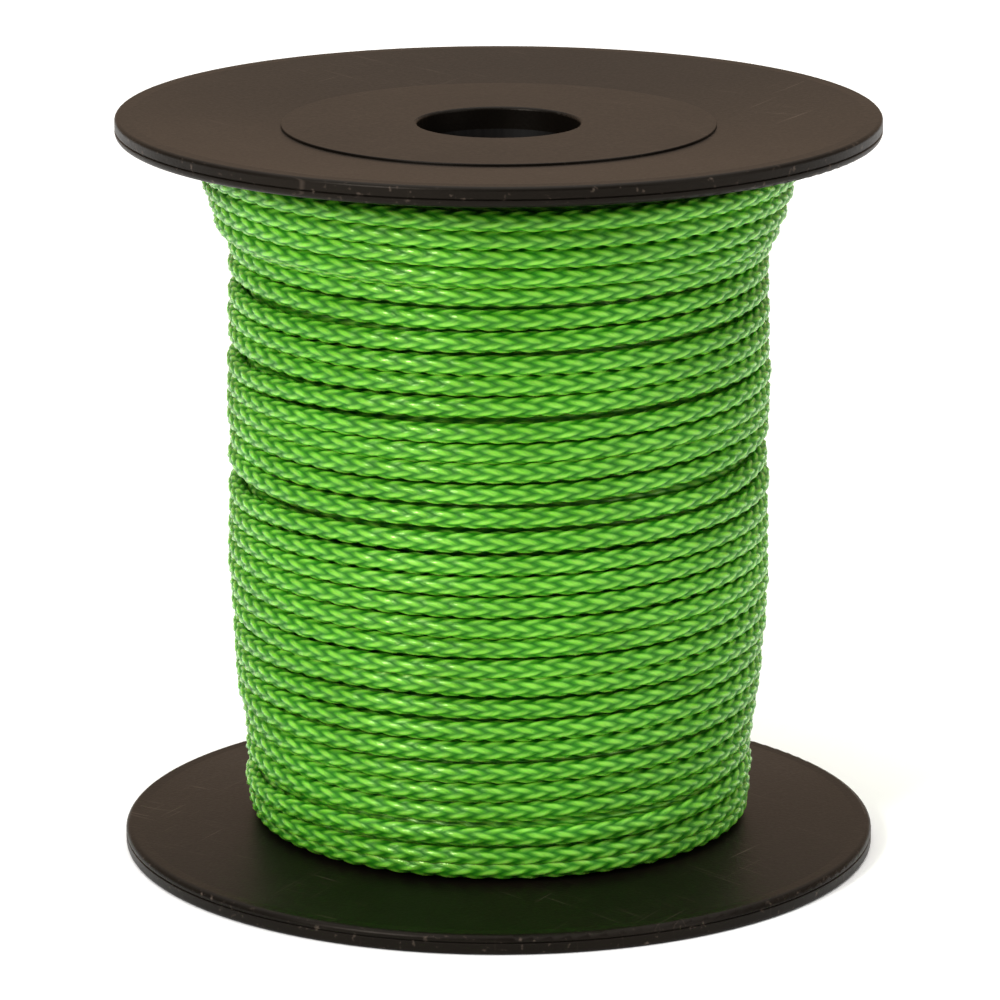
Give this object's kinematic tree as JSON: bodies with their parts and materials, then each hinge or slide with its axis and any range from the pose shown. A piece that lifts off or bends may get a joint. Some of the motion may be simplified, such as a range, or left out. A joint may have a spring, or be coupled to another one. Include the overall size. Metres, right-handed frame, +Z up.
{
  "type": "line spool",
  "caption": "Flanged plastic spool with a plain central bore, wound with thick green braided line.",
  "frame": {"origin": "centre of the lower rim's outer plane, on the bore's axis", "axes": "+Z up along the bore, +X to the right and +Y to the back"},
  "size_m": [0.075, 0.075, 0.074],
  "materials": {
    "flange_plastic": "satin injection moulding",
    "core_plastic": "extruded tube, cut ends",
    "braided_line": "braided filament, silky"
  },
  "bodies": {
    "root": {"lower_flange": "flange_plastic", "upper_flange": "flange_plastic", "barrel": "core_plastic", "bore_liner": "core_plastic", "line_winding": "braided_line"}
  },
  "joints": []
}
